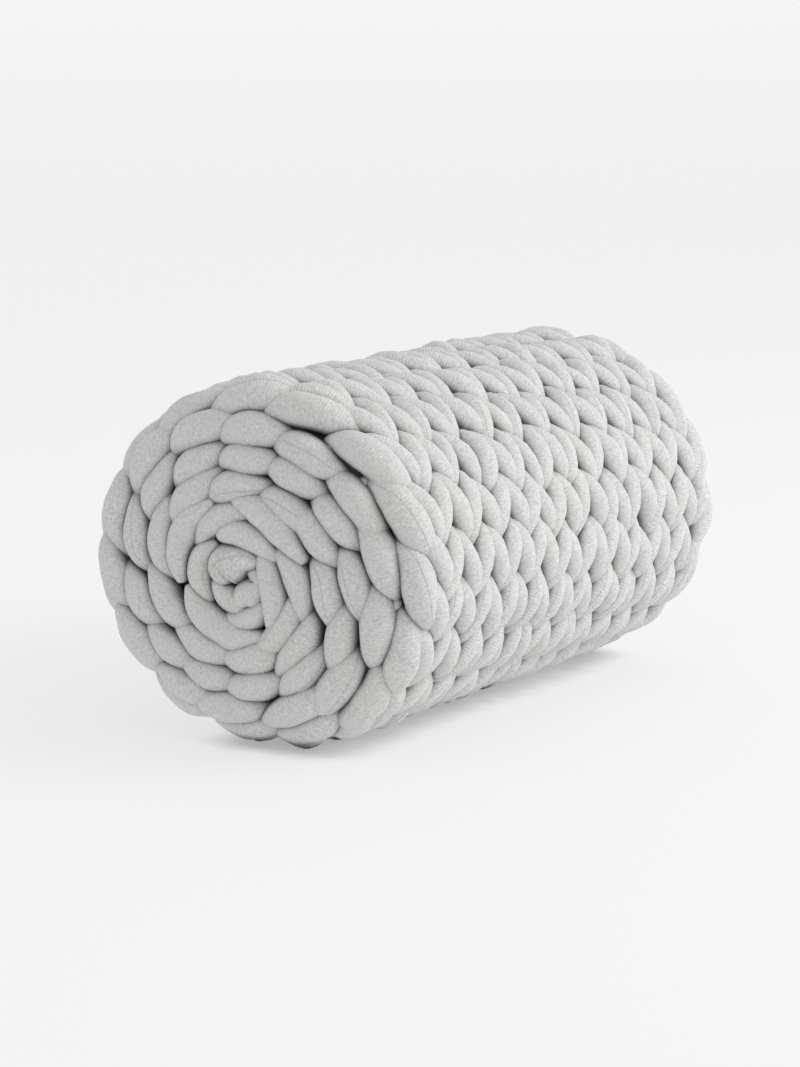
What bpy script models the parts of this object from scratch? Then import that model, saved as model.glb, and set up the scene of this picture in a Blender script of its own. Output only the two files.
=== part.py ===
"""Knitted weighted blanket, doubled lengthwise and wound into a roll that lies on its side.

Built in metres, Z up, the roll's axis along X and its flat spot on the floor plane.
The blanket is one knitted piece, so the roll is one closed solid: it has the oval
section of a soft roll at rest, the wound layers showing at both ends, the lapped free
edge down the back, and the raised columns of stitches around the outside.
"""

import math

import bpy
import bmesh

NAME = "blanket_roll"

LENGTH = 0.640            # over both domed ends
HALF_WIDTH = 0.193        # across the roll, level with the axis
HALF_HEIGHT = 0.179       # a soft roll settles a little lower than it is wide
AXIS_HEIGHT = 0.1745      # less than HALF_HEIGHT: the difference is pressed flat below

STEPS = 60                # sections in one turn of winding
LAYERS = 7.6              # cloth layers counted outwards along the free edge
PER_TURN = 2.0            # the cloth is doubled, so a turn adds two layers
LAP_ANGLE = 252.0         # free edge, degrees clockwise from the top at the left end
LAP_DEPTH = 0.17          # height of the lapped edge, as a share of the radius
LAP_FADE = 72.0           # degrees over which the cloth under the lap eases out

DOME = 0.014              # how far the middle of an end stands proud of its rim
RIM = 0.038               # rounding from an end to the outside
CAP_SHARE = 0.973         # share of the radius covered by an end before the side starts
TURN_GROOVE = 0.012       # depth between two turns at an end
FOLD_GROOVE = 0.008       # depth between the two layers of one turn
SHOULDER = 0.003          # how far a layer rounds off beside the groove of a turn
CORE_SAG = 0.008          # the middle of the winding hangs below the middle of the oval

# The five points between two grooves of the winding, from the outer layer to the inner:
# share of the way out, depth at an end, and lead in degrees at the lapped free edge.
LAYER_SHAPE = (
    (0.88, SHOULDER, -1.6),
    (0.72, 0.0, -2.6),
    (0.50, FOLD_GROOVE, -1.0),
    (0.28, 0.0, -2.6),
    (0.12, SHOULDER, -1.6),
)

WALES = 11                # whole columns of stitches between the two rims
FIRST_GROOVE = 0.045      # from each end to the first groove between columns
GROOVE = 0.0075           # depth of a groove between two columns
STITCH_STEPS = 3          # sections of the winding to one stitch
STITCH_DIP = 0.35         # how much shallower a groove is between stitch bases
FOOT_HALF = 18.0          # degrees each side of the bottom where the relief is pressed out
FOOT_FADE = 18.0

FABRIC_COLOUR = (0.62, 0.62, 0.615, 1.0)


def smooth(t):
    """Ease from 0 to 1."""
    t = min(1.0, max(0.0, t))
    return t * t * (3.0 - 2.0 * t)


def turn_angle(step):
    """Angle clockwise from the top, for a step counted inwards from the free edge."""
    return LAP_ANGLE + 360.0 * step / STEPS


def winding_share(step):
    """Radius of the groove line as a share of the oval, following the winding inwards."""
    if step <= STEPS:
        back = 360.0 * (STEPS - step) / STEPS
        return 1.0 - LAP_DEPTH * smooth(1.0 - back / LAP_FADE)
    layers = LAYERS - PER_TURN * step / STEPS
    return (1.0 - LAP_DEPTH) * layers / (LAYERS - PER_TURN)


def on_oval(angle, share, inset=0.0):
    """Point of the section at an angle, with the foot pressed flat on z = 0."""
    a = math.radians(angle)
    y = -math.sin(a) * (HALF_WIDTH * share - inset)
    z = AXIS_HEIGHT + math.cos(a) * (HALF_HEIGHT * share - inset)
    z -= CORE_SAG * (1.0 - share)
    return y, max(z, 0.0)


def end_setback(share, groove):
    """Distance of an end's surface from the plane that touches its middle."""
    outward = max(0.0, share * HALF_WIDTH - (HALF_WIDTH - RIM))
    rim = RIM - math.sqrt(RIM * RIM - outward * outward)
    return DOME * share * share + rim + groove


def foot_relief(angle):
    """0 where the roll is pressed on the floor, 1 where the stitches stand free."""
    off = abs((angle - 180.0 + 180.0) % 360.0 - 180.0)
    return smooth((off - FOOT_HALF) / FOOT_FADE)


def side_stations():
    """Positions along the roll and how deep the relief is at each: 0 crest, 1 groove."""
    pitch = (LENGTH - 2.0 * FIRST_GROOVE) / WALES
    stations = []
    for wale in range(WALES):
        start = FIRST_GROOVE + wale * pitch
        for share, depth in ((0.0, 1.0), (0.22, 0.28), (0.5, 0.0), (0.78, 0.28)):
            stations.append((start + share * pitch, depth))
    stations.append((LENGTH - FIRST_GROOVE, 1.0))
    return stations


def ring(x, scale, depth):
    """One loop of points around the roll, closing down the lapped free edge."""
    points = []
    for step in range(STEPS, -1, -1):
        angle = turn_angle(step)
        dip = 1.0 if step % STITCH_STEPS == 0 else 1.0 - STITCH_DIP
        inset = GROOVE * depth * dip * foot_relief(angle)
        y, z = on_oval(angle, winding_share(step) * scale, inset)
        points.append((x, y, z))
    for out, _, lead in LAYER_SHAPE:
        share = 1.0 - LAP_DEPTH * (1.0 - out)
        y, z = on_oval(LAP_ANGLE + lead, share * scale, GROOVE * depth)
        points.append((x, y, z))
    return points


def add_side(bm):
    """The outside of the roll. Returns the rings of points at its two ends."""
    half = LENGTH / 2.0
    rim_x = end_setback(CAP_SHARE, 0.0)
    places = [(rim_x, CAP_SHARE, 0.0)]
    for x, depth in side_stations():
        if x > rim_x + 0.004 and x < LENGTH - rim_x - 0.004:
            places.append((x, 1.0, depth))
    places.append((LENGTH - rim_x, CAP_SHARE, 0.0))
    rings = []
    for x, scale, depth in places:
        rings.append([bm.verts.new(p) for p in ring(x - half, scale, depth)])
    count = len(rings[0])
    for near, far in zip(rings, rings[1:]):
        for k in range(count):
            n = (k + 1) % count
            bm.faces.new((near[k], near[n], far[n], far[k]))
    return rings[0], rings[-1]


def add_end(bm, rim_ring, sign):
    """One end of the roll: the wound layers, following the winding in to the core."""
    half = LENGTH / 2.0
    last = int(STEPS * (LAYERS - 0.4) / PER_TURN) - STEPS

    def place(angle, share, groove):
        y, z = on_oval(angle, share)
        setback = end_setback(share, groove)
        return bm.verts.new((sign * (half - setback), y, z))

    grooves = {}
    for k, vert in enumerate(rim_ring[:STEPS + 1]):
        grooves[STEPS - k] = vert
    for step in range(STEPS + 1, last + STEPS + 1):
        depth = TURN_GROOVE * (1.0 - 0.6 * smooth((step - last) / STEPS))
        grooves[step] = place(turn_angle(step), winding_share(step) * CAP_SHARE, depth)

    between = {0: list(rim_ring[STEPS + 1:])}
    for step in range(1, last + 1):
        outer = winding_share(step) * CAP_SHARE
        inner = winding_share(step + STEPS) * CAP_SHARE
        row = []
        for out, groove, _ in LAYER_SHAPE:
            row.append(place(turn_angle(step), inner + (outer - inner) * out, groove))
        between[step] = row

    for step in range(last):
        here = [grooves[step]] + between[step] + [grooves[step + STEPS]]
        there = [grooves[step + 1]] + between[step + 1] + [grooves[step + 1 + STEPS]]
        for k in range(len(here) - 1):
            bm.faces.new((here[k], here[k + 1], there[k + 1], there[k]))

    core_edge = [grooves[step] for step in range(last, last + STEPS + 1)]
    core_edge += list(reversed(between[last]))
    centre = place(turn_angle(last) + 100.0, 0.035, 0.0)
    for k, vert in enumerate(core_edge):
        bm.faces.new((vert, core_edge[(k + 1) % len(core_edge)], centre))


def fabric():
    """Matt grey cotton cover of the filled cord the blanket is knitted from."""
    material = bpy.data.materials.new("grey_jersey")
    material.use_nodes = True
    shader = material.node_tree.nodes["Principled BSDF"]
    shader.inputs["Base Color"].default_value = FABRIC_COLOUR
    shader.inputs["Roughness"].default_value = 0.92
    return material


def build():
    bm = bmesh.new()
    left, right = add_side(bm)
    add_end(bm, left, -1.0)
    add_end(bm, right, 1.0)
    bmesh.ops.recalc_face_normals(bm, faces=bm.faces)
    bmesh.ops.triangulate(bm, faces=bm.faces)
    mesh = bpy.data.meshes.new(NAME)
    bm.to_mesh(mesh)
    bm.free()
    roll = bpy.data.objects.new(NAME, mesh)
    mesh.materials.append(fabric())
    return roll


def main():
    for old in list(bpy.data.objects):
        bpy.data.objects.remove(old)
    parts = bpy.data.collections.new("weighted_blanket")
    bpy.context.scene.collection.children.link(parts)
    parts.objects.link(build())


main()
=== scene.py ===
"""Rolled chunky-knit weighted blanket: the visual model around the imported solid.

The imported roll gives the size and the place. Every cord that shows is modelled here:
the plain-knit stitches around the outside, and at each end the edge stitches of the
wound layers, which show as slanted lobes in columns that follow the winding.
"""
import math

import bpy
import numpy as np
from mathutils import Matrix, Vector


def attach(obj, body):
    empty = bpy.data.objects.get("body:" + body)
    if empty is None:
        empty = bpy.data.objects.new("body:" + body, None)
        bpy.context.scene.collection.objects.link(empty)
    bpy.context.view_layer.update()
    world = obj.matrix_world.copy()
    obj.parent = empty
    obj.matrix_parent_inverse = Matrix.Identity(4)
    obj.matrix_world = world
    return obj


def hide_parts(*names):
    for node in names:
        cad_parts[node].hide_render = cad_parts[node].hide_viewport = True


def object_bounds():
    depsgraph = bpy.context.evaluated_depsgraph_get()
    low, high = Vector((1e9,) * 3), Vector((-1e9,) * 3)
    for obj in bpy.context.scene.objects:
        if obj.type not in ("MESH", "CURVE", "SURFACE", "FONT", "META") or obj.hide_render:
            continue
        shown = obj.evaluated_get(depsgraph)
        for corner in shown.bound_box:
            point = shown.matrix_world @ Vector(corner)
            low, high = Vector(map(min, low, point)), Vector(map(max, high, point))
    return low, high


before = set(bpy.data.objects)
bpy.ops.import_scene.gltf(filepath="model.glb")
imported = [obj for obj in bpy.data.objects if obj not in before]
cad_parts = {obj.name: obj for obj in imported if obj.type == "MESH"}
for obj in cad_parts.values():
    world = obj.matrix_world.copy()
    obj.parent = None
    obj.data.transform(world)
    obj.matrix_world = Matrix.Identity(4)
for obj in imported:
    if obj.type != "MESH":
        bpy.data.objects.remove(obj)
cad_low, cad_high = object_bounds()

# ---------------------------------------------------------------- the roll's form
# Metres and degrees. Angles run clockwise from the top as seen at the left end.
LENGTH = cad_high.x - cad_low.x
HALF_WIDTH = (cad_high.y - cad_low.y) / 2.0
HALF_HEIGHT = 0.179           # of the oval section, before it is pressed flat below
AXIS_HEIGHT = cad_high.z - HALF_HEIGHT
LAYERS = 7.6                  # layers of cord from the middle to the outside
PER_TURN = 2.0                # layers in one turn: the panel is folded once
LAP_ANGLE = 252.0             # where the free edge lies
LAP_DEPTH = 0.17              # how far inside it the next layer lies, as a share
LAP_FADE = 72.0               # degrees in which the outer layer comes down to there
DOME = 0.014                  # how far the middle of an end stands out
RIM = 0.038                   # rounding of the rims
CORE_SAG = 0.008              # how far the middle of the winding has sunk
FLOOR_GAP = 0.0002            # the cloth that rests is pressed flat at this height

# ---------------------------------------------------------------- the knitted cord
CORD = 0.0272                 # thickness of the cord
ROWS = 21                     # rows of stitches in the outside turn
EXTRA_ROWS = 4                # rows of the next turn, which show through the free edge
FIRST_ROW = 0.80              # rows from the free edge to the middle of the first one
WALES = 12                    # columns of stitches that show on the outside
FIRST_WALE = 0.0196           # from the end of the roll to the first column
WALE_PITCH = 0.0508           # width of a column of stitches
ROW_SHORT = (0.42, 0.56)      # columns by which a row stops short of the two rims
SKEW = 26.0                   # degrees by which a row drifts along the roll
SKEW_FADE = 110.0             # degrees in which the drift sets in from the free edge
SKEW_END = 376.0              # angle from the free edge at which it has died away
LOOP_REACH = 1.05             # half the height of a loop, in rows
LEAN = 0.310                  # how far the legs of a loop lean, in columns
FRONT = 0.0135                # how far the legs stand out over heads and feet
CROWN_INSET = 0.001           # how far the crowns of the stitches stay inside the oval
PAINTED_SHADE_REACH = 0.014          # how near cloth must be for painted shade to darken a crease
END_PAINTED_SHADE_REACH = 0.017      # the same at the ends, where the stitches are packed
THIN, FAT = 0.52, 1.04        # thickness of the cord at heads and feet, and in the legs
LEG_TAPER = 1.25              # how soon the cord thins from a leg towards heads and feet
SQUASH = 0.44                 # least height of a cord's middle, in thicknesses of it

# unevenness of the outside stitches: one standard deviation
UNEVEN_LEAN = 0.04            # of the lean, in columns
UNEVEN_REACH = 0.08           # of a loop's height, as a share
UNEVEN_PLACE = 0.042          # of the place along the roll, in columns
UNEVEN_ROW = 0.085            # of the place around the roll, in rows
UNEVEN_FRONT = 0.10           # of how far the legs stand out, as a share
UNEVEN_CORD = 0.06            # of the thickness, as a share

rng = np.random.default_rng(20)


def smooth(t):
    t = np.clip(t, 0.0, 1.0)
    return t * t * (3.0 - 2.0 * t)


def unit(v):
    return v / np.maximum(np.linalg.norm(v, axis=-1, keepdims=True), 1e-12)


def winding_share(back_angle):
    """Radius of the groove line, as a share of the oval, at an angle in degrees
    clockwise from the free edge and on inwards."""
    a = np.asarray(back_angle, float)
    outer = 1.0 - LAP_DEPTH * smooth(1.0 - (360.0 - a) / LAP_FADE)
    layers = LAYERS - PER_TURN * a / 360.0
    inner = (1.0 - LAP_DEPTH) * layers / (LAYERS - PER_TURN)
    return np.where(a <= 360.0, outer, inner)


def on_oval(angle, share, inset=0.0):
    """Section point at an angle in degrees clockwise from the top at the left end."""
    a = np.radians(angle)
    y = -np.sin(a) * (HALF_WIDTH * share - inset)
    z = AXIS_HEIGHT + np.cos(a) * (HALF_HEIGHT * share - inset)
    return y, z - CORE_SAG * np.clip(1.0 - share, 0.0, 1.0)


def end_profile(arc):
    """Share of the oval and setback from the end, for an arc length measured from the
    middle of the end, over the rounded rim and on along the side."""
    flat = HALF_WIDTH - RIM
    turn = np.clip((arc - flat) / RIM, 0.0, math.pi / 2.0)
    beyond = np.maximum(arc - flat - RIM * math.pi / 2.0, 0.0)
    share = (np.minimum(arc, flat) + RIM * np.sin(turn)) / HALF_WIDTH
    setback = RIM * (1.0 - np.cos(turn)) + beyond + DOME * np.minimum(share, 1.0) ** 2
    return share, setback


def share_to_arc(share):
    flat = HALF_WIDTH - RIM
    r = np.asarray(share, float) * HALF_WIDTH
    over = np.clip((r - flat) / RIM, 0.0, 1.0)
    return np.where(r <= flat, r, flat + RIM * np.arcsin(over))


def end_point(angle, arc, sign, depth=0.0):
    """Point at an end of the roll: sign -1 is the left end; depth goes into the roll."""
    def raw(an, ar):
        share, setback = end_profile(ar)
        y, z = on_oval(an, share)
        return np.stack([sign * (LENGTH / 2.0 - setback), y, z], -1)

    p = raw(angle, arc)
    eps = 1e-4
    d_arc = unit(raw(angle, arc + eps) - raw(angle, arc - eps))
    around = np.radians(angle)
    d_ang = unit(np.stack([0.0 * around,
                           -np.cos(around) * HALF_WIDTH,
                           -np.sin(around) * HALF_HEIGHT], -1))
    normal = unit(np.cross(d_arc, d_ang))
    outward = np.stack([sign + 0.0 * around, -np.sin(around), np.cos(around)], -1)
    normal = normal * np.sign(np.sum(normal * outward, -1))[..., None]
    return p - normal * np.asarray(depth)[..., None], normal


# ---------------------------------------------------------------- meshes of cord
FULL_TURN = 6.283             # radians
SOFT_WAVES = (                # wavelength, turns round the cord, height as a share
    (0.046, 2, 0.022),
    (0.031, 3, 0.018),
    (0.071, 1, 0.022),
)
CAP_SHARE = 0.35              # how far a tube's pointed cap stands out, in half-widths


class CordMesh:
    """Collects tubes of soft cord in one mesh, with a length-and-turn map for the weave."""

    def __init__(self, around=14):
        self.around = around
        self.verts = []
        self.faces = []
        self.uvs = []
        self.lots = []
        self.count = 0

    def tube(self, centre, normal, wide, thick, along0=0.0, lot=0.5, turn0=0.0):
        k = self.around
        n = len(centre)
        tangent = unit(np.gradient(centre, axis=0))
        side = unit(np.cross(normal, tangent))
        up = unit(np.cross(tangent, side))
        phi = np.linspace(0.0, 2.0 * math.pi, k, endpoint=False)
        step = np.linalg.norm(np.diff(centre, axis=0), axis=1)
        path = np.concatenate([[0.0], np.cumsum(step)])
        soft = np.ones((n, k))
        for wave, turns, size in SOFT_WAVES:
            soft += size * np.sin(2.0 * math.pi * (path[:, None] / wave + rng.random())
                                  + turns * phi[None, :] + FULL_TURN * rng.random())
        ring = (centre[:, None, :]
                + side[:, None, :] * (wide[:, None] * np.cos(phi) * soft)[..., None]
                + up[:, None, :] * (thick[:, None] * np.sin(phi) * soft)[..., None])
        along = along0 + path
        base = self.count
        self.verts.append(ring.reshape(-1, 3))
        self.verts.append(np.stack([centre[0] - tangent[0] * wide[0] * CAP_SHARE,
                                    centre[-1] + tangent[-1] * wide[-1] * CAP_SHARE]))
        i = np.arange(n - 1)[:, None]
        j = np.arange(k)[None, :]
        a = base + i * k + j
        b = base + i * k + (j + 1) % k
        c = base + (i + 1) * k + (j + 1) % k
        d = base + (i + 1) * k + j
        quads = np.stack([a, b, c, d], -1).reshape(-1, 4)
        j1 = np.broadcast_to(j, (n - 1, k)).reshape(-1)
        i1 = np.broadcast_to(i, (n - 1, k)).reshape(-1)
        u0, u1 = along[i1], along[i1 + 1]
        v0, v1 = j1 / k + turn0, (j1 + 1) / k + turn0
        self.faces.append(quads)
        self.uvs.append(np.stack([np.stack([u0, v0], -1), np.stack([u0, v1], -1),
                                  np.stack([u1, v1], -1), np.stack([u1, v0], -1)], 1))
        self.lots.append(np.full(len(quads), lot))
        start, end = base + n * k, base + n * k + 1
        j = np.arange(k)
        caps0 = np.stack([base + (j + 1) % k, base + j, np.full(k, start)], -1)
        last = base + (n - 1) * k
        caps1 = np.stack([last + j, last + (j + 1) % k, np.full(k, end)], -1)
        for caps, u in ((caps0, along[0]), (caps1, along[-1])):
            self.faces.append(np.concatenate([caps, np.full((k, 1), -1)], 1))
            uv = np.stack([np.full((k, 3), u), np.stack([j / k, (j + 1) / k, j / k], -1)], -1)
            self.uvs.append(np.concatenate([uv, np.zeros((k, 1, 2))], 1))
            self.lots.append(np.full(k, lot))
        self.count += n * k + 2

    def build(self, name, material):
        verts = np.concatenate(self.verts)
        verts[:, 2] = np.maximum(verts[:, 2], FLOOR_GAP)
        faces = np.concatenate(self.faces)
        uvs = np.concatenate(self.uvs)
        lots = np.concatenate(self.lots)
        sizes = np.where(faces[:, 3] < 0, 3, 4)
        keep = faces.reshape(-1) >= 0
        loops = faces.reshape(-1)[keep]
        loop_uv = uvs.reshape(-1, 2)[keep]
        mesh = bpy.data.meshes.new(name)
        mesh.vertices.add(len(verts))
        mesh.vertices.foreach_set("co", verts.astype(np.float32).ravel())
        mesh.loops.add(len(loops))
        mesh.loops.foreach_set("vertex_index", loops.astype(np.int32))
        mesh.polygons.add(len(sizes))
        starts = np.concatenate([[0], np.cumsum(sizes)[:-1]])
        mesh.polygons.foreach_set("loop_start", starts.astype(np.int32))
        mesh.update(calc_edges=True)
        layer = mesh.uv_layers.new(name="cord")
        layer.data.foreach_set("uv", loop_uv.astype(np.float32).ravel())
        lot = mesh.attributes.new("lot", "FLOAT", "FACE")
        lot.data.foreach_set("value", lots.astype(np.float32))
        mesh.polygons.foreach_set("use_smooth", np.ones(len(sizes), bool))
        mesh.materials.append(material)
        mesh.update()
        obj = bpy.data.objects.new(name, mesh)
        bpy.context.scene.collection.objects.link(obj)
        return obj


# ---------------------------------------------------------------- material
RIB_STEP = 0.0027             # from one rib of the jersey to the next
RIB_DRIFT = 0.0022            # how far the ribs wander
SEAM_FROM = 0.55              # stitches with a lot above this show the seam
SEAM_HALF = 0.012             # half-width of the seam, as a share of the way round
BUMP_DEPTH = 0.0012
BUMP_STRENGTH = 0.55
BUMP = {"rib": 0.16, "fine": 0.35, "pucker": 0.9, "crease": 1.5, "seam": 0.5}
FLECK_SHARE = 0.72            # how much of the colour follows the flecks
DARK_YARN = (0.31, (0.485, 0.485, 0.485, 1.0))    # where it starts, and its colour
LIGHT_YARN = (0.69, (0.755, 0.755, 0.75, 1.0))
WARM = (0.35, (1.0, 0.997, 0.985, 1.0))
COOL = (0.65, (0.987, 0.992, 1.0, 1.0))
LINE_TONE = (0.55, 0.55, 0.55, 1.0)               # in the seam and between the ribs
SEAM_DARK, RIB_DARK = 0.45, 0.05                  # how much of it they take
PAINTED_SHADE_TONE = (0.06, 0.06, 0.06, 1.0)             # painted shade, down between the stitches
PAINTED_SHADE_DARK = 0.96
PAINTED_SHADE_SHUT = 0.12            # share of open sky at which the painted crease shade is darkest
PAINTED_SHADE_OPEN, END_PAINTED_SHADE_OPEN = 0.86, 0.95         # and at which there is no painted shade at all
AO_SAMPLES = 6


def jersey(name, reach, painted_shade_open_at):
    """Heather grey cotton jersey drawn over a soft filled cord: fine ribs that run round
    the cord, small puckers, flecked yarn and, on some stretches, a seam along the cord,
    with painted shade darkening its colour in the creases between stitches."""
    mat = bpy.data.materials.new(name)
    mat.use_nodes = True
    nt = mat.node_tree
    nodes, links = nt.nodes, nt.links
    shader = nodes["Principled BSDF"]
    shader.inputs["Roughness"].default_value = 0.93
    shader.inputs["Specular IOR Level"].default_value = 0.22
    shader.inputs["Sheen Weight"].default_value = 0.12
    shader.inputs["Sheen Roughness"].default_value = 0.6

    def node(kind, **settings):
        n = nodes.new(kind)
        for key, value in settings.items():
            setattr(n, key, value)
        return n

    def two_colours(low, high, share):
        n = node("ShaderNodeValToRGB")
        for stop, (position, colour) in zip(n.color_ramp.elements, (low, high)):
            stop.position = position
            stop.color = colour
        links.new(share, n.inputs[0])
        return n.outputs[0]

    def multiply(share, under, over):
        """Multiplies one colour by another, a socket or a fixed one, by a share."""
        n = node("ShaderNodeMix", data_type="RGBA", blend_type="MULTIPLY")
        for socket, value in ((0, share), (6, under), (7, over)):
            if isinstance(value, (float, tuple)):
                n.inputs[socket].default_value = value
            else:
                links.new(value, n.inputs[socket])
        return n.outputs[2]

    def math_node(op, a, b=None, clamp=False):
        n = nodes.new("ShaderNodeMath")
        n.operation = op
        n.use_clamp = clamp
        for i, v in enumerate((a, b)):
            if v is None:
                continue
            if isinstance(v, (int, float)):
                n.inputs[i].default_value = v
            else:
                links.new(v, n.inputs[i])
        return n.outputs[0]

    coords = node("ShaderNodeTexCoord")
    cord_map = node("ShaderNodeUVMap", uv_map="cord")
    split = node("ShaderNodeSeparateXYZ")
    links.new(cord_map.outputs[0], split.inputs[0])
    along, turn = split.outputs[0], split.outputs[1]
    lot = node("ShaderNodeAttribute", attribute_name="lot").outputs["Fac"]

    def noise(scale, detail=2.0, rough=0.5, vector=None):
        n = node("ShaderNodeTexNoise")
        n.inputs["Scale"].default_value = scale
        n.inputs["Detail"].default_value = detail
        n.inputs["Roughness"].default_value = rough
        links.new(vector or coords.outputs["Object"], n.inputs["Vector"])
        return n.outputs["Fac"]

    # ribs round the cord: the jersey's courses, a little wavy
    drift = math_node("MULTIPLY", math_node("SUBTRACT", noise(55.0, 2.0), 0.5), RIB_DRIFT)
    rib_at = math_node("ADD", along, drift)
    rib = math_node("SINE", math_node("MULTIPLY", rib_at, 2.0 * math.pi / RIB_STEP))
    fine = noise(900.0, 3.0, 0.6)
    pucker = noise(120.0, 3.0, 0.55)
    # creases across the cord, stretched round it
    stretch = node("ShaderNodeCombineXYZ")
    links.new(math_node("MULTIPLY", along, 150.0), stretch.inputs[0])
    links.new(math_node("MULTIPLY", turn, 2.2), stretch.inputs[1])
    links.new(math_node("MULTIPLY", lot, 40.0), stretch.inputs[2])
    crease = noise(1.0, 3.0, 0.55, stretch.outputs[0])
    # the seam: a thin line along the cord, on some lots only
    seam_at = math_node("ADD", turn, math_node("MULTIPLY", noise(14.0, 1.0), 0.09))
    seam_middle = math_node("ADD", math_node("MULTIPLY", lot, 0.5), 0.02)
    seam_gap = math_node("ABSOLUTE", math_node("SUBTRACT", seam_at, seam_middle))
    seam = math_node("SUBTRACT", 1.0, math_node("DIVIDE", seam_gap, SEAM_HALF, True), True)
    seam = math_node("MULTIPLY", seam, math_node("GREATER_THAN", lot, SEAM_FROM))

    height = math_node("ADD", math_node("MULTIPLY", rib, BUMP["rib"]),
                       math_node("MULTIPLY", fine, BUMP["fine"]))
    height = math_node("ADD", height, math_node("MULTIPLY", pucker, BUMP["pucker"]))
    height = math_node("ADD", height, math_node("MULTIPLY", crease, BUMP["crease"]))
    height = math_node("SUBTRACT", height, math_node("MULTIPLY", seam, BUMP["seam"]))
    bump = node("ShaderNodeBump")
    bump.inputs["Strength"].default_value = BUMP_STRENGTH
    bump.inputs["Distance"].default_value = BUMP_DEPTH
    links.new(height, bump.inputs["Height"])
    links.new(bump.outputs[0], shader.inputs["Normal"])

    # colour: grey flecks along the courses, slow warm and cool drift, darker in the seam
    # and between the ribs
    fleck_map = node("ShaderNodeCombineXYZ")
    links.new(math_node("MULTIPLY", along, 900.0), fleck_map.inputs[0])
    links.new(math_node("MULTIPLY", turn, 30.0), fleck_map.inputs[1])
    links.new(math_node("MULTIPLY", lot, 60.0), fleck_map.inputs[2])
    fleck = noise(1.0, 2.0, 0.6, fleck_map.outputs[0])
    yarn_at = math_node("ADD", math_node("MULTIPLY", fleck, FLECK_SHARE),
                        math_node("MULTIPLY", noise(260.0, 3.0, 0.65), 1.0 - FLECK_SHARE))
    yarn = two_colours(DARK_YARN, LIGHT_YARN, yarn_at)
    tint = two_colours(WARM, COOL, noise(11.0, 1.0))
    between_ribs = math_node("LESS_THAN", rib, -0.3)
    lines = math_node("ADD", math_node("MULTIPLY", seam, SEAM_DARK),
                      math_node("MULTIPLY", between_ribs, RIB_DARK))
    cloth = multiply(lines, multiply(1.0, yarn, tint), LINE_TONE)
    # painted shade: the cloth's colour is darkened down in the creases between stitches, the
    # darker the less open sky they see
    near = node("ShaderNodeAmbientOcclusion", samples=AO_SAMPLES)
    near.inputs["Distance"].default_value = reach
    painted_shade = node("ShaderNodeMapRange", interpolation_type="SMOOTHSTEP")
    painted_shade.inputs["From Min"].default_value = PAINTED_SHADE_SHUT
    painted_shade.inputs["From Max"].default_value = painted_shade_open_at
    painted_shade.inputs["To Min"].default_value = PAINTED_SHADE_DARK
    painted_shade.inputs["To Max"].default_value = 0.0
    links.new(near.outputs["AO"], painted_shade.inputs["Value"])
    links.new(multiply(painted_shade.outputs["Result"], cloth, PAINTED_SHADE_TONE), shader.inputs["Base Color"])
    return mat


def shaded_jersey():
    """Painted shade: the cloth deep between the stitches, coloured near black since no light
    reaches it.
    """
    mat = bpy.data.materials.new("grey_jersey_painted_shade")
    mat.use_nodes = True
    shader = mat.node_tree.nodes["Principled BSDF"]
    # painted shade: near black
    shader.inputs["Base Color"].default_value = (0.05, 0.05, 0.05, 1.0)
    shader.inputs["Roughness"].default_value = 1.0
    shader.inputs["Specular IOR Level"].default_value = 0.0
    return mat


# ---------------------------------------------------------------- stitches outside
POINTS_PER_WALE = 30          # points of the cord's path in one column
ROWS_PER_PIECE = 5
CORD_PER_ROW = 1.37           # metres by which the weave moves on from row to row


def side_rows(material):
    """Plain knitting, knit side out, the columns running round the roll. It is worked
    clockwise from the free edge: each loop opens clockwise and its two legs meet at a
    point at the anticlockwise end."""
    row_step = 360.0 / ROWS
    t = 2.0 * math.pi * np.linspace(ROW_SHORT[0], WALES - ROW_SHORT[1], WALES * POINTS_PER_WALE)
    wale = t / (2.0 * math.pi)

    def uneven(size, per_wale=2):
        knots = per_wale * WALES + 1
        return np.interp(wale, np.linspace(0, WALES, knots), rng.normal(0.0, size, knots))

    pieces = []
    for row in range(ROWS + EXTRA_ROWS):
        if row % ROWS_PER_PIECE == 0:
            sector = CordMesh(16)
            pieces.append(sector)
        back = row_step * (row + FIRST_ROW)
        lean = LEAN + uneven(UNEVEN_LEAN)
        reach = LOOP_REACH * (1.0 + uneven(UNEVEN_REACH))
        x = FIRST_WALE + WALE_PITCH * (wale + lean * np.sin(2.0 * t) + uneven(UNEVEN_PLACE))
        along = row_step * (-reach * np.cos(t) + uneven(UNEVEN_ROW))
        drift = (SKEW * (wale / WALES - 0.5) * smooth(back / SKEW_FADE)
                 * smooth((SKEW_END - back) / SKEW_FADE))
        here = back + along + drift
        rise = FRONT * (1.0 + uneven(UNEVEN_FRONT, 4))
        out = -rise * np.cos(2.0 * t)
        share = winding_share(here)
        inset = CORD * 0.5 * FAT + FRONT - out + CROWN_INSET
        # the outermost stitches follow the rounding of the ends, fuller at the right end
        edge = np.minimum(x - DOME, LENGTH - x)
        over = np.clip((RIM - edge) / RIM, 0.0, 1.0)
        inset = inset + RIM * (1.0 - np.sqrt(np.maximum(0.0, 1.0 - over ** 2)))
        y, z = on_oval(LAP_ANGLE + here, share, inset)
        z = np.maximum(z, CORD * SQUASH)
        centre = np.stack([x - LENGTH / 2.0, y, z], -1)
        a = np.radians(LAP_ANGLE + here)
        normal = unit(np.stack([0.0 * a, -np.sin(a), np.cos(a)], -1))
        leg = (0.5 - 0.5 * np.cos(2.0 * t)) ** LEG_TAPER
        size = CORD * 0.5 * (THIN + (FAT - THIN) * leg) * (1.0 + uneven(UNEVEN_CORD, 4))
        sector.tube(centre, normal, size, size * 0.98, along0=row * CORD_PER_ROW,
                    lot=float(rng.random()))
    return [s.build(f"stitches_outside_{i + 1}", material) for i, s in enumerate(pieces)]


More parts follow.
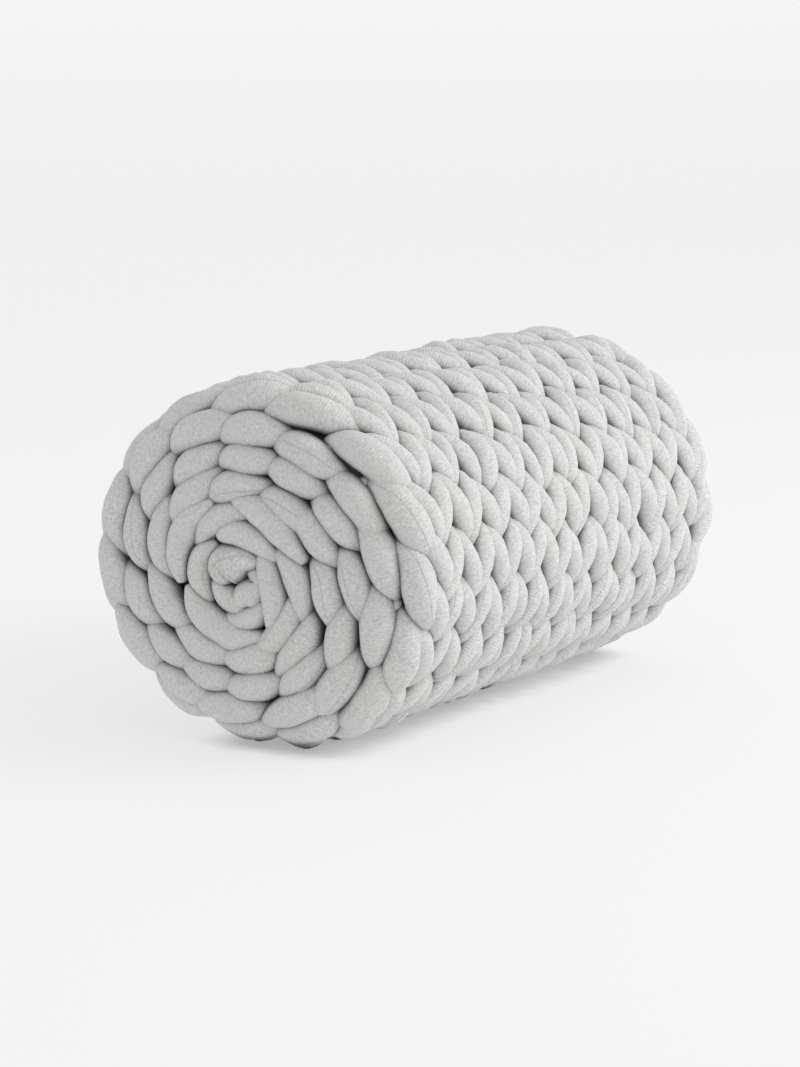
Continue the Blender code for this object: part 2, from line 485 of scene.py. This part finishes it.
# ---------------------------------------------------------------- lobes at the ends
LOBE_POINTS = 26              # points of a lobe's path
OVERRUN = 0.06                # share of its length by which a lobe runs on at each end
MID_SLOPE, END_SLOPE = 0.75, 5.0    # how it crosses its column: steeper towards its ends
PLUMP = (2.2, 0.72)           # its outline: higher is fuller, lower ends more bluntly
TIP = 0.08                    # least width of it, as a share
END_SINK, START_SINK = 0.75, 0.30   # half-thicknesses its ends go in, its start more
WEAVE_LENGTH = 3.0            # metres of cord over which the weave of a stitch is drawn
WEAVE_TURN = 0.3              # share of a turn over which its seam is placed


def weave_place():
    """Where along and around the cord the weave of the next stitch starts."""
    return {"along0": float(rng.random()) * WEAVE_LENGTH,
            "turn0": float(rng.random()) * WEAVE_TURN}


def lobe(mesh, sign, angles, arcs, half_wide, half_thick, lift, lot, off=(0.0, 0.0)):
    """One plump stitch of an end. It lies aslant across its column: it starts narrow
    inside the inner edge, fills the column in the middle and ends narrow beyond the
    outer edge."""
    t = np.linspace(0.0, 1.0, LOBE_POINTS)
    bend = 0.5 - 0.5 * np.cos(math.pi * t)
    angle = angles[0] + (angles[1] - angles[0]) * ((1.0 + 2.0 * OVERRUN) * t - OVERRUN)
    across = 0.5 + MID_SLOPE * (t - 0.5) + END_SLOPE * (t - 0.5) ** 3
    arc = arcs[0] + (arcs[1] - arcs[0]) * across
    mid = np.abs(2.0 * t - 1.0)
    body = np.maximum((1.0 - mid ** PLUMP[0]) ** PLUMP[1], TIP)
    sink = half_thick * END_SINK * mid ** 3.0 + half_thick * START_SINK * (1.0 - bend) * mid
    depth = half_thick - lift + sink
    centre, normal = end_point(angle, arc, sign, depth)
    centre[:, 1] += HALF_WIDTH * off[0] + off[1] * arc
    centre[:, 2] = np.maximum(centre[:, 2], half_thick * 0.8)
    mesh.tube(centre, normal, half_wide * body, half_thick * (0.25 + 0.75 * body),
              lot=lot, **weave_place())


# The edge stitches that show at an end, turn by turn from the middle outwards. Lengths
# are degrees, and radii, slants and half-widths are shares of the roll's half-width. A
# slant is how much further out a stitch ends than it starts.
TURNS = (
    # stitches, first angle, step, length, radius, slant, half-width
    (10, 37.0, 37.0, 50.0, 0.480, 0.090, 0.087),
    (13, 43.0, 27.5, 35.0, 0.625, 0.080, 0.086),
    (14, 39.0, 25.7, 33.0, 0.770, 0.085, 0.090),
)
SQUEEZE = 0.022               # the turns lie closer together above and below the middle
SLANT_SWING = 0.045           # and their stitches slant less there
SWING_ANGLE = 100.0           # where the turns lie widest
TURN_JITTER = 0.006           # unevenness of a stitch's radius and slant
START_JITTER = 1.6            # of where it starts, in degrees
LENGTH_JITTER = 0.04          # of its length, as a share
WIDTH_JITTER = 0.03           # of its half-width, as a share
TURN_THICK = (0.0140, 0.0155)       # least and most half-thickness of a stitch
TURN_LIFT = -0.001            # how far it stands out of the end; below 0 it lies deeper
OFF_CENTRE = (0.030, 0.035)   # how far the turns sit towards the back: at the middle,
                              # and more per share of the half-width further out
RIM_STITCHES = 15             # stitches that wrap the rim, in one turn
RIM_START = -21.0             # where one of them starts
RIM_LENGTH = 1.40             # length of one, in steps from one to the next
RIM_ARCS = (0.173, 0.209)     # where it starts and ends, out from the middle of the end
RIM_HALF = 0.0176             # half-width of it
RIM_THICK = 0.0165            # half-thickness of it
RIM_LIFT = -0.0015            # how far it stands out; below 0 it lies deeper
RIM_JITTER = (1.2, 0.001, 0.04)     # of its start, of its outer end and of its width
LAP_DROP = 0.7                # share of the lapped edge's step by which they drop
FOOT = 0.006                  # how far they move outwards and deeper where it rests
FOOT_FADE = 55.0              # degrees from the lowest point in which that fades
RIGHT_FULL = 0.006            # how much fuller the right end is


def end_lobes(name, sign, material):
    """The edge of every layer, then the outermost stitches that wrap the rim."""
    mesh = CordMesh(18)
    for stitches, first, step, length, radius, slant, half_share in TURNS:
        for i in range(stitches):
            wide, out, tilt, turned, long = rng.normal(0.0, 1.0, 5)
            start = first + step * i + START_JITTER * turned
            swing = math.cos(2.0 * math.radians(start + 0.5 * length - SWING_ANGLE))
            middle = radius + SQUEEZE * swing + TURN_JITTER * out
            rise = slant + SLANT_SWING * swing + TURN_JITTER * tilt
            half = half_share * HALF_WIDTH * (1.0 + WIDTH_JITTER * wide)
            arcs = (float(share_to_arc(middle - 0.5 * rise)),
                    float(share_to_arc(middle + 0.5 * rise)))
            span = length * (1.0 + LENGTH_JITTER * long)
            thick = min(max(half, TURN_THICK[0]), TURN_THICK[1])
            lobe(mesh, sign, (start, start + span), arcs, half, thick, TURN_LIFT,
                 float(rng.random()), OFF_CENTRE)
    full = RIGHT_FULL if sign > 0.0 else 0.0
    step = 360.0 / RIM_STITCHES
    length = step * RIM_LENGTH
    for i in range(RIM_STITCHES):
        turned, out, wide, _ = rng.normal(0.0, 1.0, 4)
        start = RIM_START + step * i + RIM_JITTER[0] * turned
        middle = (start + 0.5 * length) % 360.0
        # under the lapped edge the outermost layer lies deeper
        lap = 1.0 - float(winding_share((middle - LAP_ANGLE) % 360.0))
        drop = lap * HALF_WIDTH * LAP_DROP
        foot = float(smooth(1.0 - abs(middle - 180.0) / FOOT_FADE))
        arcs = (RIM_ARCS[0] - drop + FOOT * foot + full,
                RIM_ARCS[1] - drop + FOOT * foot + RIM_JITTER[1] * out + full)
        half = RIM_HALF * (1.0 + RIM_JITTER[2] * wide)
        lift = RIM_LIFT - FOOT * foot + 0.5 * full * (1.0 - foot)
        lobe(mesh, sign, (start, start + length), arcs, half, RIM_THICK, lift,
             float(rng.random()))
    middle_lobes(mesh, sign)
    return mesh.build(name, material)


MIDDLE_POINTS = 30            # points of a middle stitch's path
MIDDLE_PLUMP = 1.26           # how much wider its tube is than its listed half-width
MIDDLE_LEAST = 0.014          # least half-width of it, as a share
MIDDLE_SINK = 0.009           # how deep its two ends go


def spline(points, samples):
    """Smooth path through a few points (Catmull-Rom)."""
    p = np.array(points, float)
    p = np.concatenate([[2 * p[0] - p[1]], p, [2 * p[-1] - p[-2]]])
    s = np.linspace(0.0, len(points) - 1.0, samples)
    i = np.minimum(s.astype(int), len(points) - 2)
    f = (s - i)[:, None]
    a, b, c, d = p[i], p[i + 1], p[i + 2], p[i + 3]
    return 0.5 * (2 * b + (c - a) * f + (2 * a - 5 * b + 4 * c - d) * f ** 2
                  + (3 * b - a - 3 * c + d) * f ** 3)


# The start of the roll, stitch by stitch: a path through (right, up, half-width), all in
# shares of the roll's half-width as one looks at the left end, and its depth in metres.
MIDDLE = (
    ([(0.085, 0.070, 0.034), (0.020, 0.078, 0.058), (-0.060, 0.048, 0.090),
      (-0.108, 0.000, 0.088), (-0.090, -0.060, 0.040)], 0.000),
    ([(0.035, 0.028, 0.024), (0.078, 0.000, 0.050), (0.096, -0.048, 0.046),
      (0.060, -0.085, 0.022)], 0.007),
    ([(-0.025, -0.178, 0.026), (0.014, -0.122, 0.060), (0.078, -0.090, 0.060),
      (0.140, -0.055, 0.028)], 0.003),
    ([(-0.170, -0.055, 0.026), (-0.112, -0.118, 0.056), (-0.042, -0.170, 0.054),
      (0.040, -0.205, 0.024)], 0.006),
    ([(-0.160, 0.140, 0.028), (-0.232, 0.060, 0.056), (-0.245, -0.060, 0.056),
      (-0.190, -0.170, 0.026)], 0.004),
    ([(0.150, -0.120, 0.026), (0.095, -0.205, 0.050), (0.000, -0.252, 0.046),
      (-0.100, -0.245, 0.020)], 0.005),
    ([(-0.125, 0.185, 0.030), (-0.020, 0.212, 0.058), (0.100, 0.175, 0.062),
      (0.205, 0.095, 0.032)], 0.001),
    ([(0.105, 0.105, 0.030), (0.158, 0.020, 0.058), (0.188, -0.090, 0.062),
      (0.190, -0.210, 0.048), (0.165, -0.275, 0.022)], 0.001),
    ([(-0.265, 0.125, 0.028), (-0.180, 0.240, 0.062), (-0.040, 0.305, 0.062),
      (0.070, 0.300, 0.028)], 0.004),
    ([(-0.350, -0.080, 0.028), (-0.365, 0.075, 0.060), (-0.300, 0.240, 0.060),
      (-0.160, 0.355, 0.028)], 0.000),
    ([(-0.310, -0.105, 0.028), (-0.235, -0.235, 0.066), (-0.070, -0.335, 0.070),
      (0.125, -0.335, 0.028)], 0.001),
    ([(0.085, -0.390, 0.028), (0.190, -0.335, 0.064), (0.270, -0.225, 0.066),
      (0.295, -0.110, 0.028)], 0.002),
    ([(0.205, 0.150, 0.028), (0.292, 0.045, 0.062), (0.342, -0.090, 0.060),
      (0.345, -0.225, 0.024)], 0.003),
    ([(-0.030, 0.375, 0.028), (0.105, 0.335, 0.062), (0.245, 0.230, 0.064),
      (0.365, 0.090, 0.028)], -0.001),
)


def middle_lobes(mesh, sign):
    """The small twisted start of the roll."""
    for points, deep in MIDDLE:
        path = spline(points, MIDDLE_POINTS)
        wide = np.maximum(path[:, 2] * MIDDLE_PLUMP, MIDDLE_LEAST) * HALF_WIDTH
        ends = np.abs(np.linspace(-1.0, 1.0, len(path)))
        off = np.hypot(path[:, 0], path[:, 1])
        x = deep + DOME * off ** 2 + wide + MIDDLE_SINK * ends ** 3
        y = -path[:, 0] * HALF_WIDTH + HALF_WIDTH * (OFF_CENTRE[0] + OFF_CENTRE[1] * off)
        z = AXIS_HEIGHT - 0.5 * CORE_SAG * (1.0 - off) + path[:, 1] * HALF_HEIGHT
        centre = np.stack([sign * (LENGTH / 2.0 - x), y, z], -1)
        normal = np.tile(np.array([[sign, 0.0, 0.0]]), (len(path), 1))
        mesh.tube(centre, normal, wide, wide, along0=float(rng.random()) * WEAVE_LENGTH,
                  lot=float(rng.random()), turn0=float(rng.random()) * WEAVE_TURN)


CORE_AROUND = 96              # points around the inner layers
CORE_SETBACK = 0.030          # how far inside the ends they stop
CORE_TAPER = 0.05             # length in which they narrow towards the ends
CORE_SHARE, CORE_MORE = 0.80, 0.05  # share of the oval at the ends, and more further in
CORE_LAP = 60.0               # degrees from the free edge in which they drop away
CORE_FLOOR = 0.012            # least height over the floor


def core(material):
    """The layers under the ones that show: closes every gap between the stitches."""
    near, far = 0.075, 0.09   # rings lie closer together near the ends
    x = np.concatenate([np.linspace(CORE_SETBACK, near, 6),
                        np.linspace(far, LENGTH - far, 20),
                        np.linspace(LENGTH - near, LENGTH - CORE_SETBACK, 6)])
    around = CORE_AROUND
    angle = np.linspace(0.0, 360.0, around, endpoint=False)
    back = (angle - LAP_ANGLE) % 360.0
    # at the free edge they drop away, so that the layer beneath shows through the loops
    share = winding_share(back) - LAP_DEPTH * smooth(1.0 - back / CORE_LAP)
    verts = []
    for xi in x:
        edge = min(xi, LENGTH - xi)
        shrink = CORE_SHARE + CORE_MORE * float(smooth((edge - CORE_SETBACK) / CORE_TAPER))
        y, z = on_oval(angle, share * shrink)
        verts.append(np.stack([np.full(around, xi - LENGTH / 2.0), y,
                               np.maximum(z, CORE_FLOOR)], -1))
    verts = np.concatenate(verts)
    last = (len(x) - 1) * around
    faces = []
    for ring in range(0, last, around):
        for j in range(around):
            k = (j + 1) % around
            faces.append((ring + j, ring + k, ring + around + k, ring + around + j))
    faces.append(tuple(range(around - 1, -1, -1)))
    faces.append(tuple(last + j for j in range(around)))
    data = bpy.data.meshes.new("inner_layers")
    data.from_pydata([tuple(v) for v in verts], [], faces)
    data.materials.append(material)
    data.uv_layers.new(name="cord")
    obj = bpy.data.objects.new("inner_layers", data)
    bpy.context.scene.collection.objects.link(obj)
    return obj


# ---------------------------------------------------------------- build the roll
# the ends' copy has deeper, wider painted crease shade than the outside's
fabric = jersey("grey_jersey", PAINTED_SHADE_REACH, PAINTED_SHADE_OPEN)
end_fabric = jersey("grey_jersey_ends", END_PAINTED_SHADE_REACH, END_PAINTED_SHADE_OPEN)
outside = side_rows(fabric)
ends = [end_lobes("stitches_left_end", -1.0, end_fabric),
        end_lobes("stitches_right_end", 1.0, end_fabric)]
# the inner layers are clad in painted shade, near-black cloth for the dark seen between the
# stitches
inner = core(shaded_jersey())
for piece in outside + ends + [inner]:
    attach(piece, "root")
    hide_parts("blanket_roll")


# ---------------------------------------------------------------- stage, light, camera
GROUND_TONE = (0.30, 0.30, 0.30, 1.0)
GROUND_GLOW = 0.612           # light of the ground's own
SWEEP_GLOW = 0.83             # the same far up the sweep
GLOW_HEIGHT = 2.5             # height at which it has that
SHADOW_REACH = 0.028          # how near the object must be to shade the ground
SHADOW_OPEN = (0.10, 0.95)    # shares of open sky at which the shade is full and none
SHADOW_GLOW = 0.60            # share of its light that the ground keeps in full shade
FLOOR_HALF = 9.0              # half the width of the ground
FLOOR_FRONT, FLOOR_BACK = -8.0, 6.0
SWEEP_RADIUS = 3.0
SWEEP_TOP = 9.0


def stage_material():
    """Even white ground: part of its brightness is its own, more of it up the sweep,
    so that it stays one tone behind the object; its own glow is dimmed near the object
    as a painted shadow, under the soft cast one."""
    mat = bpy.data.materials.new("pale_ground")
    mat.use_nodes = True
    nt = mat.node_tree
    shader = nt.nodes["Principled BSDF"]
    shader.inputs["Base Color"].default_value = GROUND_TONE
    shader.inputs["Roughness"].default_value = 0.95
    shader.inputs["Specular IOR Level"].default_value = 0.0
    shader.inputs["Emission Color"].default_value = (1.0, 1.0, 1.0, 1.0)
    place = nt.nodes.new("ShaderNodeTexCoord")
    split = nt.nodes.new("ShaderNodeSeparateXYZ")
    nt.links.new(place.outputs["Object"], split.inputs[0])
    ramp = nt.nodes.new("ShaderNodeMapRange")
    ramp.interpolation_type = "SMOOTHSTEP"
    ramp.inputs["From Min"].default_value = 0.0
    ramp.inputs["From Max"].default_value = GLOW_HEIGHT
    ramp.inputs["To Min"].default_value = GROUND_GLOW
    ramp.inputs["To Max"].default_value = SWEEP_GLOW
    nt.links.new(split.outputs["Z"], ramp.inputs["Value"])
    # painted shadow: the ground's own glow is dimmed where the object is near
    open_sky = nt.nodes.new("ShaderNodeAmbientOcclusion")
    open_sky.samples = 8
    open_sky.inputs["Distance"].default_value = SHADOW_REACH
    dim = nt.nodes.new("ShaderNodeMapRange")
    dim.interpolation_type = "SMOOTHSTEP"
    dim.inputs["From Min"].default_value = SHADOW_OPEN[0]
    dim.inputs["From Max"].default_value = SHADOW_OPEN[1]
    dim.inputs["To Min"].default_value = SHADOW_GLOW
    dim.inputs["To Max"].default_value = 1.0
    nt.links.new(open_sky.outputs["AO"], dim.inputs["Value"])
    glow = nt.nodes.new("ShaderNodeMath")
    glow.operation = "MULTIPLY"
    nt.links.new(ramp.outputs["Result"], glow.inputs[0])
    nt.links.new(dim.outputs["Result"], glow.inputs[1])
    nt.links.new(glow.outputs["Value"], shader.inputs["Emission Strength"])
    return mat


def sweep_floor():
    """One seamless pale ground that curves up far behind the object."""
    profile = []
    for y in np.linspace(FLOOR_FRONT, FLOOR_BACK, 8):
        profile.append((y, 0.0))
    for a in np.linspace(0.0, math.pi / 2.0, 14)[1:]:
        profile.append((FLOOR_BACK + SWEEP_RADIUS * math.sin(a),
                        SWEEP_RADIUS - SWEEP_RADIUS * math.cos(a)))
    profile.append((FLOOR_BACK + SWEEP_RADIUS, SWEEP_TOP))
    verts, faces = [], []
    turn = math.radians(-YAW)
    for y, z in profile:
        for x in (-FLOOR_HALF, FLOOR_HALF):
            verts.append((x * math.cos(turn) - y * math.sin(turn),
                          x * math.sin(turn) + y * math.cos(turn), z))
    for i in range(len(profile) - 1):
        faces.append((2 * i, 2 * i + 1, 2 * i + 3, 2 * i + 2))
    data = bpy.data.meshes.new("ground")
    data.from_pydata(verts, [], faces)
    data.polygons.foreach_set("use_smooth", [True] * len(faces))
    data.materials.append(stage_material())
    obj = bpy.data.objects.new("ground", data)
    bpy.context.scene.collection.objects.link(obj)
    return obj


# the camera's place, in half-widths of the roll from the middle of its left rim
CAMERA_BACK = 11.707          # out from the left end
CAMERA_SIDE = 8.034           # to the front
CAMERA_UP = 2.567
ROLL_BEARING = 31.52          # degrees between the line of sight and the roll's axis
YAW = 90.0 - ROLL_BEARING
PITCH = 9.56                  # degrees downwards
FOCAL_PIXELS = 3000.0         # focal length, in pixels of the photograph
LENS_SHARE = FOCAL_PIXELS / 1067.0
SENSOR = 36.0                 # height of the sensor, in millimetres


def add_camera():
    data = bpy.data.cameras.new("camera")
    data.sensor_fit = "VERTICAL"
    data.sensor_height = SENSOR
    data.lens = SENSOR * LENS_SHARE
    data.clip_end = 60.0
    cam = bpy.data.objects.new("camera", data)
    r = HALF_WIDTH
    cam.location = (-LENGTH / 2.0 + DOME - CAMERA_BACK * r, -CAMERA_SIDE * r,
                    AXIS_HEIGHT + CAMERA_UP * r)
    cam.rotation_euler = (math.radians(90.0 - PITCH), 0.0, math.radians(-YAW))
    bpy.context.scene.collection.objects.link(cam)
    bpy.context.scene.camera = cam


ROOM_LIGHT = 0.77
LAMPS = (
    # name, place, where it points, size, watts
    ("key", (1.5, -3.3, 2.4), (0.0, 0.0, 0.15), (2.6, 2.0), 73.0),
    ("low_fill", (0.9, -3.0, 0.7), (0.0, 0.0, 0.10), (2.4, 0.9), 12.0),
)


def area(name, location, target, size, power):
    data = bpy.data.lights.new(name, "AREA")
    data.shape = "RECTANGLE"
    data.size, data.size_y = size
    data.energy = power
    lamp = bpy.data.objects.new(name, data)
    lamp.location = location
    aim = Vector(target) - Vector(location)
    lamp.rotation_euler = aim.to_track_quat("-Z", "Y").to_euler()
    bpy.context.scene.collection.objects.link(lamp)


def add_light():
    world = bpy.data.worlds.new("soft_room")
    world.use_nodes = True
    bg = world.node_tree.nodes["Background"]
    bg.inputs["Color"].default_value = (1.0, 1.0, 1.0, 1.0)
    bg.inputs["Strength"].default_value = ROOM_LIGHT
    bpy.context.scene.world = world
    for lamp in LAMPS:
        area(*lamp)


sweep_floor()
add_camera()
add_light()
scene = bpy.context.scene
scene.view_settings.view_transform = "Standard"
scene.view_settings.look = "None"
